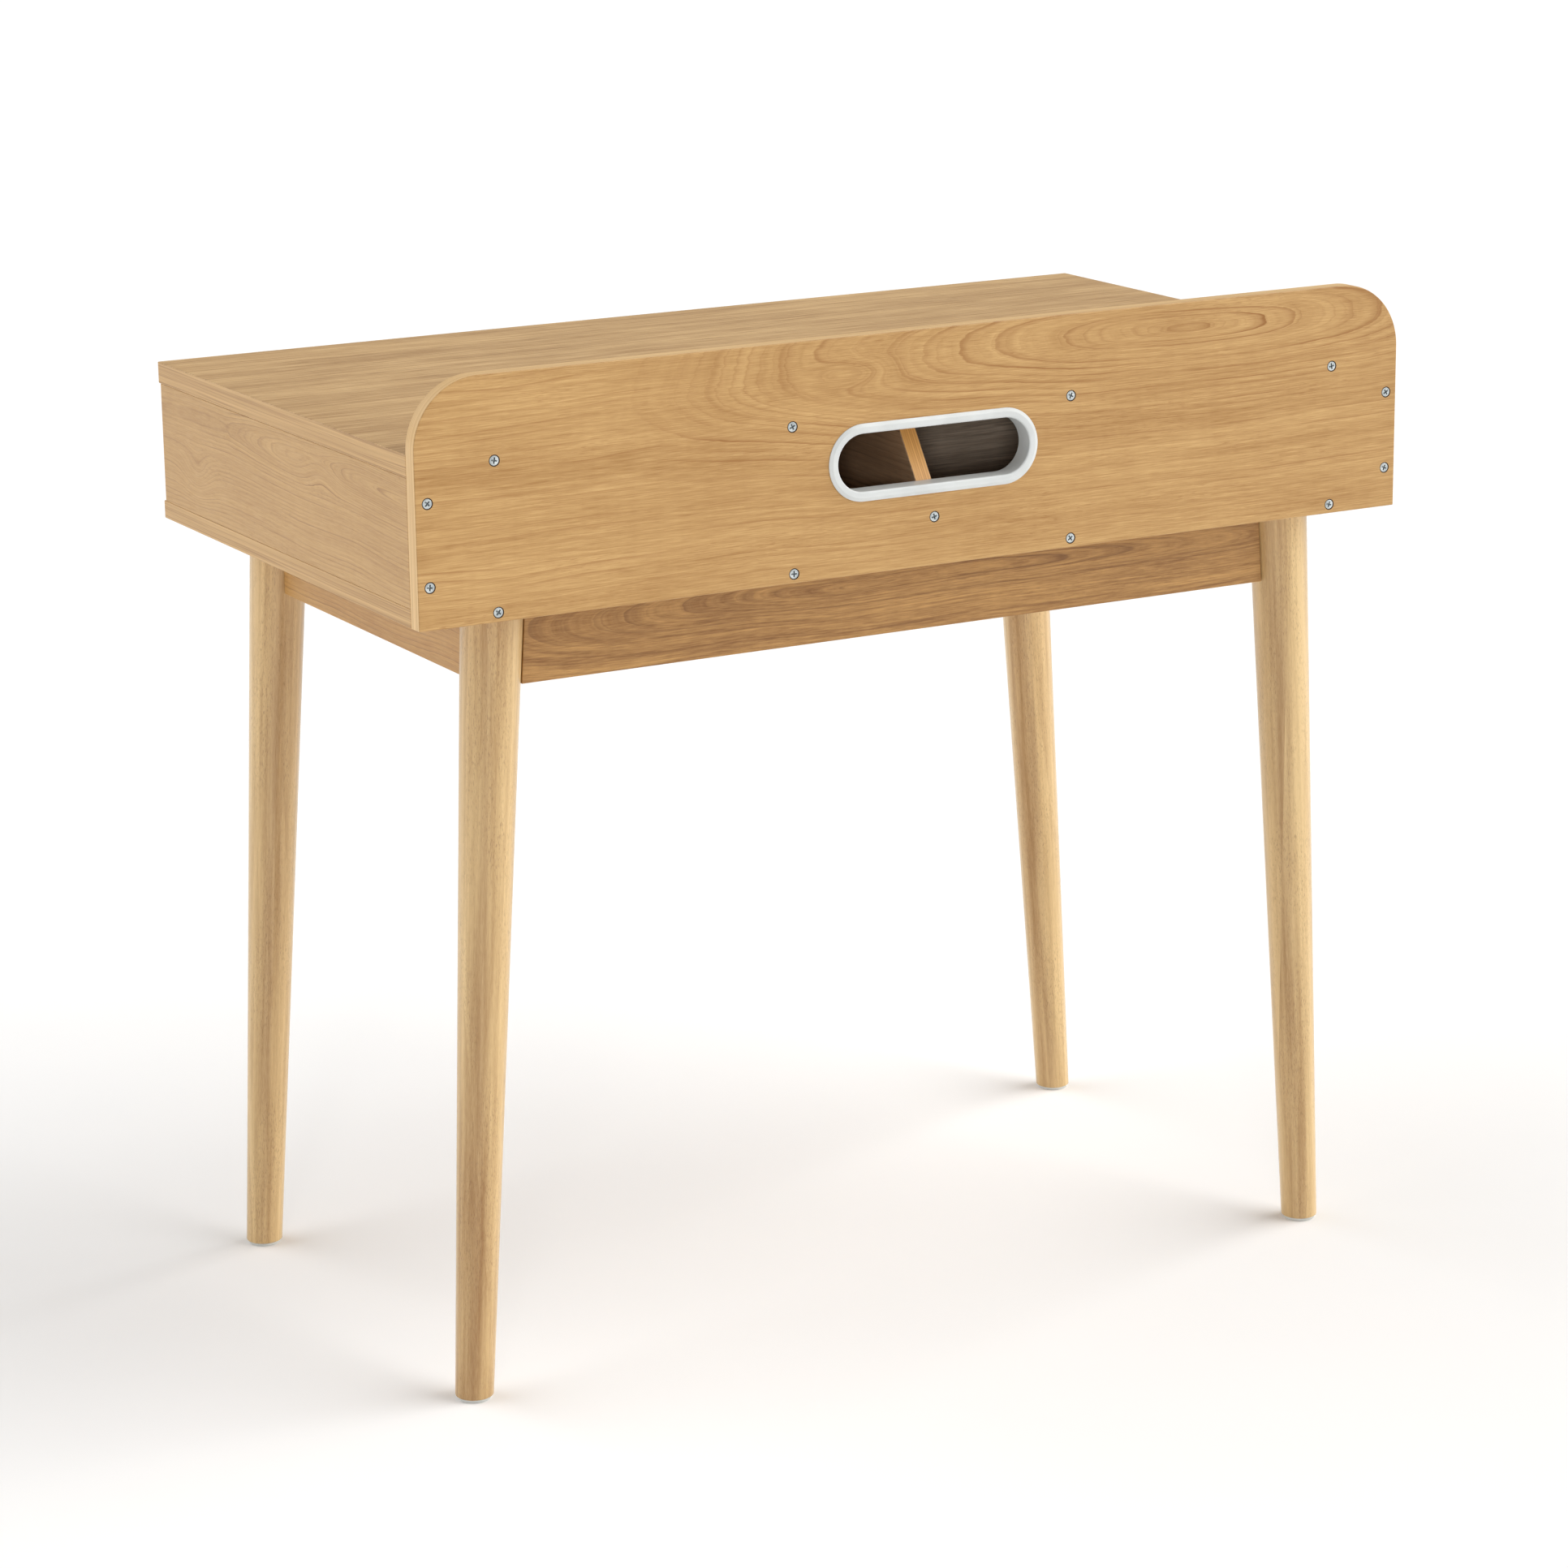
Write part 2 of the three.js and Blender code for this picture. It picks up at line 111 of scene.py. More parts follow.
def add_light(name, turn, elevation, irradiance, spread, tint):
    toward = outward(VIEW["azimuth"] + turn, elevation)
    data = bpy.data.lights.new(name, "SUN")
    data.energy = irradiance * math.pi
    data.angle = math.radians(spread)
    data.color = tint
    light = bpy.data.objects.new(name, data)
    light.location = toward * LIGHT_DISTANCE
    light.rotation_euler = (-toward).to_track_quat("-Z", "Y").to_euler()
    bpy.context.scene.collection.objects.link(light)


def add_studio():
    scene = bpy.context.scene
    scene.view_settings.view_transform = "Standard"
    world = bpy.data.worlds.new("studio")
    world.use_nodes = True
    background = world.node_tree.nodes["Background"]
    background.inputs["Color"].default_value = (1.0, 1.0, 1.0, 1)
    background.inputs["Strength"].default_value = WORLD_STRENGTH
    scene.world = world

    for name, settings in LIGHTS.items():
        add_light(name, *settings)

    bpy.ops.mesh.primitive_plane_add(size=FLOOR_SIZE)
    floor = bpy.context.object
    floor.name = "studio_floor"
    floor.data.materials.append(floor_material())


# ---------------------------------------------------------------- shader node helpers

class Graph:
    """Makes and joins the nodes of one material."""

    def __init__(self, name):
        self.material = bpy.data.materials.new(name)
        self.material.use_nodes = True
        self.tree = self.material.node_tree
        self.shader = self.tree.nodes["Principled BSDF"]

    def plug(self, socket, value):
        if isinstance(value, bpy.types.NodeSocket):
            self.tree.links.new(value, socket)
        elif value is not None:
            socket.default_value = value

    def node(self, kind, *values, **settings):
        made = self.tree.nodes.new("ShaderNode" + kind)
        for key, value in settings.items():
            setattr(made, key, value)
        for socket, value in zip(made.inputs, values):
            self.plug(socket, value)
        return made

    def math(self, operation, *values):
        return self.node("Math", *values, operation=operation).outputs[0]

    def add(self, a, b):
        return self.math("ADD", a, b)

    def times(self, a, b):
        return self.math("MULTIPLY", a, b)

    def swing(self, value, weight):
        """A 0 to 1 value as a change to each side of nothing."""
        return self.times(self.add(value, -0.5), weight)

    def fade(self, share, a, b):
        """From the value a where share is 0 to the value b where it is 1."""
        rest = self.add(self.times(share, -1.0), 1.0)
        return self.add(self.times(a, rest), self.times(b, share))

    def place(self, axes):
        """The object's own coordinates, in metres, in the order that axes names, such as 'xzy'."""
        split = self.node("SeparateXYZ", self.node("TexCoord").outputs["Object"])
        return [split.outputs["xyz".index(axis)] for axis in axes]

    def noise(self, *terms, detail=2.0, roughness=0.5):
        """Soft noise. Each term is a coordinate with its frequency, or a fixed number."""
        terms = [self.times(*term) if isinstance(term, tuple) else term for term in terms]
        made = self.node("TexNoise", self.node("CombineXYZ", *terms).outputs[0])
        made.inputs["Scale"].default_value = 1.0
        made.inputs["Detail"].default_value = detail
        made.inputs["Roughness"].default_value = roughness
        return made.outputs[0]

    def random(self, value):
        made = self.node("TexWhiteNoise", noise_dimensions="1D")
        self.plug(made.inputs["W"], value)
        return made.outputs["Value"]

    def span(self, value, low, high, to_low=0.0, to_high=1.0, smooth=True):
        kind = "SMOOTHSTEP" if smooth else "LINEAR"
        made = self.node("MapRange", value, low, high, to_low, to_high, interpolation_type=kind)
        return made.outputs[0]

    def mix(self, factor, a, b):
        made = self.node("Mix", data_type="RGBA")
        for socket, value in ((0, factor), (6, a), (7, b)):
            self.plug(made.inputs[socket], value)
        return made.outputs[2]

    def bump(self, height, strength, distance):
        made = self.node("Bump")
        for name, value in (("Height", height), ("Strength", strength), ("Distance", distance)):
            self.plug(made.inputs[name], value)
        self.plug(self.shader.inputs["Normal"], made.outputs[0])

    def finish(self, **inputs):
        for name, value in inputs.items():
            self.plug(self.shader.inputs[name.replace("_", " ").title()], value)
        return self.material


def colour(red, green, blue):
    """Linear RGBA from the 0 to 255 sRGB values that a picture shows."""
    def linear(value):
        value /= 255
        return value / 12.92 if value <= 0.04045 else ((value + 0.055) / 1.055) ** 2.4
    return linear(red), linear(green), linear(blue), 1.0


# ---------------------------------------------------------------- wood

class Wood:
    """The colours of one printed wood, and how strongly each of its marks shows. lines is growth
    lines per metre, and fibre_size is a fibre's length and width in metres."""

    def __init__(self, light, dark, line, lines=150, line_strength=0.6, fibre=0.7, pores=0.35,
                 bands=0.8, streaks=0.9, drift=0.8, jag=0.22, roughness=0.42, relief=0.3,
                 fibre_size=(0.018, 0.0012)):
        self.light, self.dark, self.line = colour(*light), colour(*dark), colour(*line)
        self.lines, self.line_strength = lines, line_strength
        self.fibre, self.pores, self.bands, self.streaks = fibre, pores, bands, streaks
        self.drift, self.jag = drift, jag
        self.roughness, self.relief, self.fibre_size = roughness, relief, fibre_size


class Figure:
    """Where the nested arches of flat-sawn wood lie on a board. They close at centre along the
    grain and straddle the line at axis across it. ahead and behind say over what length the log's
    middle sinks, and how deep. Each knot is its place along and across, its reach along and
    across, and the growth lines it adds. crowd draws the lines together beside the axis. Away
    from the axis they turn faint between the two distances of faint, and between the two places
    of straight along the grain straight lines take over."""

    def __init__(self, centre, axis, ahead=(0.5, 0.06), behind=(0.5, 0.06), knots=(), crowd=0.045,
                 faint=(0.5, 0.6), straight=None):
        self.centre, self.axis, self.ahead, self.behind = centre, axis, ahead, behind
        self.knots, self.crowd, self.faint, self.straight = knots, crowd, faint, straight


CHERRY = Wood((206, 166, 108), (162, 118, 62), (148, 98, 42), lines=190, line_strength=0.95,
              fibre=1.6, jag=0.14, pores=0.5, fibre_size=(0.024, 0.0008))
# The aprons' cherry, printed darker than CHERRY: painted shade under the overhang.
CHERRY_PAINTED_SHADE = Wood((192, 147, 86), (136, 93, 46), (110, 70, 32), lines=260, line_strength=0.7,
                     bands=1.7, streaks=1.8, fibre=1.5, jag=0.08)
MAPLE = Wood((204, 165, 109), (172, 131, 79), (146, 104, 56), lines=270, line_strength=0.75,
             drift=1.8)
AMBER = Wood((206, 162, 98), (170, 122, 62), (140, 94, 44), lines=240, line_strength=0.7)
ASH = Wood((222, 186, 132), (158, 119, 73), (134, 96, 54), lines=130, line_strength=0.4,
           fibre=2.1, pores=0.75, bands=0.7, streaks=1.0, drift=1.0, jag=0.25, relief=0.8,
           fibre_size=(0.07, 0.0015))
INNER_FOIL = Wood((194, 158, 124), (152, 119, 90), (118, 88, 64), lines=200, line_strength=0.8)
SMOKED_OAK = Wood((232, 212, 190), (168, 148, 128), (122, 104, 88), lines=110, line_strength=0.5,
                  fibre=2.2, streaks=1.2, pores=0.6, fibre_size=(0.05, 0.0013))
OAK_FOIL = Wood((222, 211, 196), (178, 164, 146), (150, 134, 116), lines=160, streaks=1.4)
HONEY_BAND = Wood((234, 180, 106), (208, 150, 82), (178, 120, 60))
BIRCH_BAND = Wood((226, 190, 135), (203, 164, 110), (176, 135, 82))

HEART_DEPTH = 2 * MM        # the log's middle never lies nearer to the face than this
ARCH_BEND = 14 * MM         # how far the arches' line wanders
CROWD_REACH = 14 * MM
FAINTEST = 0.6
FINE_LINES = 2.63           # fine lines between the growth lines, for each of them
BOARD_SKEW = 0.15           # shifts the grain through the thickness, so that the two faces differ


def ring_radius(g, u, v, figure):
    """How far out from the middle of the log the face cuts it, in metres. The rings crowd
    together beside the arches, and run straight a little further off."""
    away = g.add(u, -figure.centre)
    ahead = g.span(away, 0.0, figure.ahead[0], 0.0, figure.ahead[1], smooth=False)
    away = g.times(away, -1.0)
    behind = g.span(away, 0.0, figure.behind[0], 0.0, figure.behind[1], smooth=False)
    deep = g.add(g.add(ahead, behind), HEART_DEPTH)
    bend = g.noise((u, 5.0), 3.0, detail=1.0)
    across = g.math("ABSOLUTE", g.add(g.add(v, -figure.axis), g.swing(bend, ARCH_BEND)))
    crowding = g.math("EXPONENT", g.times(across, -1 / CROWD_REACH))
    across = g.add(across, g.times(g.add(g.times(crowding, -1.0), 1.0), figure.crowd))
    cubes = g.add(g.math("POWER", across, 3.0), g.math("POWER", deep, 3.0))
    return g.math("POWER", cubes, 1 / 3)


def growth_field(g, wood, u, v, figure):
    """Counts growth lines across the face."""
    field = g.times(ring_radius(g, u, v, figure), wood.lines)
    for along, across, reach_u, reach_v, height in figure.knots:
        du = g.times(g.add(u, -along), 1 / reach_u)
        dv = g.times(g.add(v, -across), 1 / reach_v)
        square = g.add(g.times(du, du), g.times(dv, dv))
        field = g.add(field, g.times(g.math("EXPONENT", g.times(square, -1.0)), height))
    slow = g.noise((u, 4.0), (v, 14.0), detail=1.0)
    field = g.add(field, g.swing(slow, wood.drift * 2))
    jag = g.noise((u, 35.0), (v, 220.0), detail=2.0, roughness=0.6)
    return g.add(field, g.swing(jag, wood.jag * 2))


def growth_lines(g, field, u, seed=0.0):
    """Dark where a growth line runs. Each line has its own strength and fades in and out."""
    saw = g.math("FRACT", field)
    rise = g.span(saw, 0.2, 0.95)
    edge = g.span(saw, 0.74, 0.93)
    line = g.add(g.times(g.times(rise, rise), 0.5), g.times(edge, 0.5))
    line = g.times(line, g.span(saw, 0.94, 1.0, 1.0, 0.0))
    number = g.add(g.math("FLOOR", field), seed)
    strength = g.add(g.random(number), 0.15)
    gaps = g.noise((u, 9.0), (number, 3.7), detail=1.0)
    return g.times(g.times(line, strength), g.span(gaps, 0.36, 0.62, 0.25, 1.0))


def grain_tones(g, wood, u, rows, seed=0.0):
    """Broad bands and finer streaks of tone that follow the growth lines counted by rows."""
    bands = g.noise((u, 1.6), (rows, 0.42), seed, detail=3.0)
    streaks = g.noise((u, 0.3 / wood.fibre_size[0]), (rows, 1.9), seed, detail=3.0, roughness=0.6)
    return bands, streaks


def laminate(name, wood, axes, figure, shift=(0.0, 0.0)):
    """Printed wood on a board's broad faces. axes names the grain's axis, the axis across it
    and the board's thickness."""
    g = Graph(name)
    u, v, w = g.place(axes)
    field = growth_field(g, wood, u, v, figure)
    off_axis = g.math("ABSOLUTE", g.add(v, -figure.axis))
    clear = g.span(off_axis, *figure.faint, 1.0, FAINTEST)
    plain = g.span(u, *figure.straight) if figure.straight else None
    u = g.add(u, shift[0])
    v = g.add(g.add(v, g.times(w, BOARD_SKEW)), shift[1])
    main = growth_lines(g, field, u)
    fine = growth_lines(g, g.times(field, FINE_LINES), u, seed=40.0)
    line = g.times(g.add(main, g.times(fine, 0.45)), clear)
    bands, streaks = grain_tones(g, wood, u, field)
    if plain:
        wander = g.noise((u, 3.0), (v, 9.0), 5.0, detail=2.0)
        rows = g.add(g.times(v, wood.lines * 0.8), g.times(wander, 5.0))
        line = g.fade(plain, line, g.times(growth_lines(g, rows, u, seed=80.0), 0.55))
        even_bands, even_streaks = grain_tones(g, wood, u, g.times(v, wood.lines), seed=6.0)
        bands, streaks = g.fade(plain, bands, even_bands), g.fade(plain, streaks, even_streaks)

    along, across = 1 / wood.fibre_size[0], 1 / wood.fibre_size[1]
    patches = g.noise((u, 6.0), (v, 16.0), 1.0, detail=2.0)
    mottle = g.noise((u, 120.0), (v, 22.0), 4.0, detail=2.0)
    fibre = g.noise((u, along), (v, across), detail=3.0, roughness=0.65)
    tone = 0.5
    for mark, weight in ((bands, wood.bands), (patches, 0.7), (streaks, wood.streaks),
                         (mottle, 0.15), (fibre, wood.fibre)):
        tone = g.add(tone, g.swing(mark, weight))
    base = g.mix(g.span(tone, 0.0, 1.0, smooth=False), wood.light, wood.dark)

    dash = g.noise((u, along * 2.2), (v, across * 1.2), 7.0, detail=1.0)
    dash = g.span(dash, 0.60, 0.70)
    where = g.span(g.noise((u, 8.0), (v, 40.0), 2.0), 0.42, 0.66)
    base = g.mix(g.times(g.times(dash, where), wood.pores), base, wood.line)
    base = g.mix(g.times(line, wood.line_strength), base, wood.line)

    g.bump(g.add(g.times(fibre, 0.6), g.times(dash, -0.4)), wood.relief, 0.12 * MM)
    rough = g.span(fibre, 0.2, 0.8, wood.roughness - 0.05, wood.roughness + 0.07)
    return g.finish(base_color=base, roughness=rough)


def edge_band(name, wood, axes):
    """The glued strip on a board's edges: fine straight lines that follow the edge."""
    g = Graph(name)
    u, v, w = g.place(axes)
    along = g.add(u, v)
    drift = g.noise((along, 6.0), (w, 40.0), detail=1.0)
    across = g.add(w, g.times(drift, 3 * MM))
    broad = g.noise((along, 2.0), (across, 330.0), detail=1.0)
    lines = g.noise((along, 4.0), (across, 760.0), 3.0, detail=2.0, roughness=0.6)
    tone = g.add(g.times(broad, 0.5), g.times(lines, 0.5))
    base = g.mix(g.span(tone, 0.36, 0.62, 0.0, 0.8), wood.light, wood.dark)
    base = g.mix(g.times(g.span(lines, 0.54, 0.66), 0.45), base, wood.line)
    fine = g.noise((along, 60.0), (w, 2400.0), detail=1.0)
    base = g.mix(g.times(g.span(fine, 0.6, 0.75), 0.2), base, wood.line)
    g.bump(lines, 0.2, 0.1 * MM)
    return g.finish(base_color=base, roughness=wood.roughness)


class Blank:
    """The glued-up blank that a turned piece comes from: where the piece's axis crosses height 0
    in X and Y, how far the axis leans in X for each metre of height, and how its staves lie.
    stave_turn also lays the painted shade down the piece's middle."""

    def __init__(self, at=(0.0, 0.0), lean=0.0, stave_turn=29.0, stave_slope=0.1, offset=0.0,
                 seed=0.0):
        self.at, self.lean, self.seed = at, lean, seed
        self.stave_turn, self.stave_slope, self.offset = stave_turn, stave_slope, offset


STAVE_WIDTH = 42 * MM
MIDDLE_SHADE_REACH = (1 * MM, 21 * MM)     # painted shade, darker down the middle across stave_turn, fades out over this


def rubberwood(name, axes, blank):
    """Solid staves glued side by side, clear lacquered, with short dark pores along the grain, and
    painted shade down the middle across stave_turn. axes names the grain's axis and the two
    across it."""
    g = Graph(name)
    u, v, w = g.place(axes)
    v = g.add(g.add(v, -blank.at[0]), g.times(u, -blank.lean))
    w = g.add(w, -blank.at[1])
    light, dark, pore = colour(222, 190, 135), colour(150, 106, 52), colour(120, 80, 42)
    turn = math.radians(blank.stave_turn)
    middle = g.add(g.times(v, math.cos(turn)), g.times(w, math.sin(turn)))
    # painted shade: darker within a strip round the axis, across stave_turn
    painted_middle_shade = g.span(g.math("ABSOLUTE", middle), *MIDDLE_SHADE_REACH, 1.0, 0.0)
    slant = g.add(g.add(middle, g.times(u, blank.stave_slope)), blank.offset)
    tint = g.random(g.add(g.math("FLOOR", g.times(slant, 1 / STAVE_WIDTH)), blank.seed))
    shift = g.add(g.times(tint, 0.7), blank.seed)
    v, w = g.add(v, shift), g.add(w, shift)
    streak = g.noise((v, 260.0), (w, 260.0), (u, 7.0), detail=3.0)
    broad = g.noise((v, 55.0), (w, 55.0), (u, 3.0), detail=2.0)
    grain = g.noise((v, 1500.0), (w, 1500.0), (u, 130.0), detail=2.0)
    tone = g.add(g.times(tint, 0.34), g.times(painted_middle_shade, 0.42))
    for mark, weight in ((streak, 0.9), (broad, 0.9), (grain, 0.45)):
        tone = g.add(tone, g.swing(mark, weight))
    base = g.mix(g.span(tone, 0.0, 1.0, smooth=False), light, dark)
    pores = g.noise((v, 1900.0), (w, 1900.0), (u, 260.0), detail=1.0)
    pores = g.span(pores, 0.56, 0.68)
    dense = g.span(g.noise((v, 60.0), (w, 60.0), (u, 9.0)), 0.36, 0.6)
    base = g.mix(g.times(g.times(pores, dense), 0.42), base, pore)
    g.bump(g.times(pores, -1.0), 0.25, 0.12 * MM)
    rough = g.span(streak, 0.2, 0.8, 0.30, 0.42)
    return g.finish(base_color=base, roughness=rough, coat_weight=0.5, coat_roughness=0.22)


# ---------------------------------------------------------------- other materials

def speckle(g, frequency, detail):
    """Noise of the same size in every direction."""
    return g.noise(*[(axis, frequency) for axis in g.place("xyz")], detail=detail)


def hole_board_painted_shade():
    """Bare particle board inside a drilled hole, far darker than bare board: its chips are its own,
    its dark colour is painted shade round each screw.
    """
    g = Graph("hole_board_painted_shade")
    chips = speckle(g, 700.0, detail=3.0)
    base = g.mix(g.span(chips, 0.3, 0.7), colour(84, 60, 40), colour(38, 26, 17))
    g.bump(chips, 0.6, 0.3 * MM)
    return g.finish(base_color=base, roughness=0.85)


def zinc(name):
    """Bright zinc plating with faint cloudy patches and turning marks."""
    g = Graph(name)
    cloud = speckle(g, 260.0, detail=3.0)
    base = g.mix(g.span(cloud, 0.3, 0.7), colour(214, 220, 220), colour(176, 184, 186))
    g.bump(speckle(g, 2500.0, detail=1.0), 0.12, 0.1 * MM)
    rough = g.span(cloud, 0.3, 0.7, 0.26, 0.42)
    return g.finish(base_color=base, roughness=rough, metallic=0.8)


def recess_zinc_painted_shade():
    """The rougher zinc inside a screw's cross, darker than the head: painted shade in the recess."""
    return Graph("recess_zinc_painted_shade").finish(base_color=colour(150, 157, 159), metallic=0.7, roughness=0.5)


def moulded(name, light, dark, roughness):
    """Moulded plastic with the faint grain and cloudiness of its mould."""
    g = Graph(name)
    cloud = speckle(g, 40.0, detail=2.0)
    base = g.mix(g.span(cloud, 0.35, 0.65), colour(*light), colour(*dark))
    g.bump(speckle(g, 1600.0, detail=1.0), 0.06, 0.1 * MM)
    rough = g.span(cloud, 0.3, 0.7, roughness - 0.04, roughness + 0.05)
    return g.finish(base_color=base, roughness=rough)


def floor_material():
    g = Graph("studio_floor")
    x, y = g.place("xy")
    cloud = g.noise((x, 3.0), (y, 3.0), detail=2.0)
    base = g.mix(cloud, colour(250, 250, 250), colour(246, 246, 246))
    return g.finish(base_color=base, roughness=0.9)


# ---------------------------------------------------------------- mesh helpers

def new_piece(name, mesh, materials, stands_for):
    """A finished piece that rides where its CAD node does, and is shown in its place."""
    piece = bpy.data.objects.new(name, mesh)
    bpy.context.scene.collection.objects.link(piece)
    for material in materials:
        mesh.materials.append(material)
    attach(piece, BODY_OF[stands_for])
    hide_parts(stands_for)
    return piece


def dress(node, material):
    """Gives a CAD node that keeps its own shape its finished material."""
    NODES[node].data.materials.clear()
    NODES[node].data.materials.append(material)


def shade_smooth(piece, sharp_above):
    """Smooth shading, except at edges that turn by more than sharp_above degrees."""
    piece.data.polygons.foreach_set("use_smooth", [True] * len(piece.data.polygons))
    piece.data.set_sharp_from_angle(angle=math.radians(sharp_above))


def weigh_normals(piece):
    """Broad faces keep their own direction, and the eased edges shade round between them."""
    shade_smooth(piece, sharp_above=38)
    modifier = piece.modifiers.new("weighted_normals", "WEIGHTED_NORMAL")
    modifier.keep_sharp = True


def finished_mesh(mesh, name):
    """The working mesh as mesh data, with its faces turned outward."""
    bmesh.ops.recalc_face_normals(mesh, faces=mesh.faces)
    made = bpy.data.meshes.new(name)
    mesh.to_mesh(made)
    mesh.free()
    return made


def skin(mesh, lower, upper):
    """The faces between two closed rings, either of which may be a single point."""
    faces = []
    count = max(len(lower), len(upper))
    for i in range(count):
        j = (i + 1) % count
        around = [lower[i % len(lower)], lower[j % len(lower)],
                  upper[j % len(upper)], upper[i % len(upper)]]
        corners = list(dict.fromkeys(around))
        if len(corners) > 2:
            faces.append(mesh.faces.new(corners))
    return faces


NEARLY_STRAIGHT = 1e-9      # twice the area of the triangle that three outline points span
GENTLE_TURN = math.radians(25)


def convex_outline(points):
    """The convex outline of 2-D points, anticlockwise, without the points along its sides."""
    ordered = sorted({(round(x, 6), round(y, 6)) for x, y in points})

    def half(sequence):
        chain = []
        for p in sequence:
            while len(chain) > 1:
                (ax, ay), (bx, by) = chain[-2:]
                if (bx - ax) * (p[1] - ay) - (by - ay) * (p[0] - ax) > NEARLY_STRAIGHT:
                    break
                chain.pop()
            chain.append(p)
        return chain[:-1]

    return [Vector(p) for p in half(ordered) + half(ordered[::-1])]


def offset_outline(outline, distance):
    """An anticlockwise convex outline moved inward by distance."""
    moved = []
    count = len(outline)
    for i, corner in enumerate(outline):
        before = (corner - outline[i - 1]).normalized()
        after = (outline[(i + 1) % count] - corner).normalized()
        inward_a = Vector((-before.y, before.x))
        inward_b = Vector((-after.y, after.x))
        bisector = inward_a + inward_b
        moved.append(corner + bisector * (distance * 2 / bisector.length_squared))
    return moved


def round_corners(outline, radius, steps=4):
    """Rounds the outline's sharp corners, and leaves its gentle ones as they are."""
    rounded = []
    count = len(outline)
    for i, corner in enumerate(outline):
        before = (outline[i - 1] - corner).normalized()
        after = (outline[(i + 1) % count] - corner).normalized()
        turn = math.pi - before.angle(after)
        if turn < GENTLE_TURN:
            rounded.append(corner)
            continue
        reach = radius * math.tan(turn / 2)
        centre = corner + (before + after).normalized() * radius / math.cos(turn / 2)
        start = corner + before * reach - centre
        for step in range(steps + 1):
            spin = Matrix.Rotation(turn * step / steps, 2)
            rounded.append(centre + spin @ start)
    return rounded


def slab_mesh(name, outline, low, high, to_space, ease=0.6 * MM, steps=3):
    """A board between two levels with its edges eased. The narrow faces take the second material
    and the rest the first. to_space turns (outline x, outline y, level) into a point."""
    levels = []
    for step in range(steps + 1):
        angle = math.pi / 2 * step / steps
        levels.append((ease * (1 - math.sin(angle)), low + ease * (1 - math.cos(angle))))
    levels += [(inset, low + high - level) for inset, level in reversed(levels)]
    mesh = bmesh.new()
    rings = []
    for inset, level in levels:
        ring = [mesh.verts.new(to_space(p.x, p.y, level)) for p in offset_outline(outline, inset)]
        rings.append(ring)
    for step, (lower, upper) in enumerate(zip(rings, rings[1:])):
        for wall in skin(mesh, lower, upper):
            wall.material_index = 1 if step == steps else 0
    mesh.faces.new(rings[0][::-1])
    mesh.faces.new(rings[-1])
    return finished_mesh(mesh, name)


CUTTER_EASE = 0.01 * MM     # too small to see, but a slab's edges need some ease

# For each thickness axis: the two axes of the outline, and the point from outline x, y and level.
PLANES = {
    "x": ("yz", lambda a, b, level: (level, a, b)),
    "y": ("xz", lambda a, b, level: (a, level, b)),
    "z": ("xy", lambda a, b, level: (a, b, level)),
}


def add_board(node, thickness, face, band, ease=0.6 * MM, cutter=None):
    """Stands for a CAD board: the same outline and thickness, with eased edges. The cutter, if
    there is one, is cut out of it."""
    axes, to_space = PLANES[thickness]
    points = [(getattr(v.co, axes[0]), getattr(v.co, axes[1])) for v in NODES[node].data.vertices]
    outline = round_corners(convex_outline(points), ease)
    low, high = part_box(node)
    mesh = slab_mesh(node + "_board", outline, getattr(low, thickness), getattr(high, thickness),
                     to_space, ease)
    piece = new_piece(node + "_board", mesh, (face, band), node)
    if cutter:
        carve(piece, loose_object("cut", cutter), solver="FAST")
    weigh_normals(piece)


def turned_mesh(name, profile, segments, to_space):
    """A closed solid of revolution from (radius, level) points that start and end on the axis."""
    mesh = bmesh.new()
    rings = []
    for radius, level in profile:
        if radius == 0:
            rings.append([mesh.verts.new(to_space(0, 0, level))])
            continue
        ring = []
        for i in range(segments):
            angle = 2 * math.pi * i / segments
            x, y = radius * math.cos(angle), radius * math.sin(angle)
            ring.append(mesh.verts.new(to_space(x, y, level)))
        rings.append(ring)
    for lower, upper in zip(rings, rings[1:]):
        skin(mesh, lower, upper)
    return finished_mesh(mesh, name)


def arc(centre_radius, centre_level, radius, start, end, steps=5):
    """Profile points round a quarter or other arc, its angles in degrees from outward to up."""
    points = []
    for step in range(steps + 1):
        angle = math.radians(start + (end - start) * step / steps)
        points.append((centre_radius + radius * math.cos(angle),
                       centre_level + radius * math.sin(angle)))
    return points


def carve(piece, cutter, solver="EXACT"):
    """Cuts the cutter out of the piece, for good."""
    modifier = piece.modifiers.new("carve", "BOOLEAN")
    modifier.operation = "DIFFERENCE"
    modifier.solver = solver
    modifier.object = cutter
    modifier.material_mode = "TRANSFER"
    bpy.context.view_layer.update()
    evaluated = piece.evaluated_get(bpy.context.evaluated_depsgraph_get())
    carved = bpy.data.meshes.new_from_object(evaluated)
    piece.modifiers.clear()
    piece.data = carved
    bpy.data.objects.remove(cutter)


def loose_object(name, mesh, materials=()):
    """A plain object in the scene, such as a cutter, for a while."""
    made = bpy.data.objects.new(name, mesh)
    for material in materials:
        mesh.materials.append(material)
    bpy.context.scene.collection.objects.link(made)
    return made


def joined(name, meshes):
    """Several closed meshes as one."""
    whole = bmesh.new()
    for mesh in meshes:
        whole.from_mesh(mesh)
    made = bpy.data.meshes.new(name)
    whole.to_mesh(made)
    whole.free()
    return made


# ---------------------------------------------------------------- boards

SCREW_NODES = sorted(n for n in NODES if n.startswith("back_screw_"))
SCREW_HOLE = {"radius": 2.3 * MM, "mouth": 4.6 * MM, "cone": 2.3 * MM}
SAME_PLACE = 0.01 * MM
CORNER_STEPS = 30
SLOT_STEPS = 24
FLANGE_OVERLAP = 4 * MM     # how far the grommet's flange covers the board round its slot


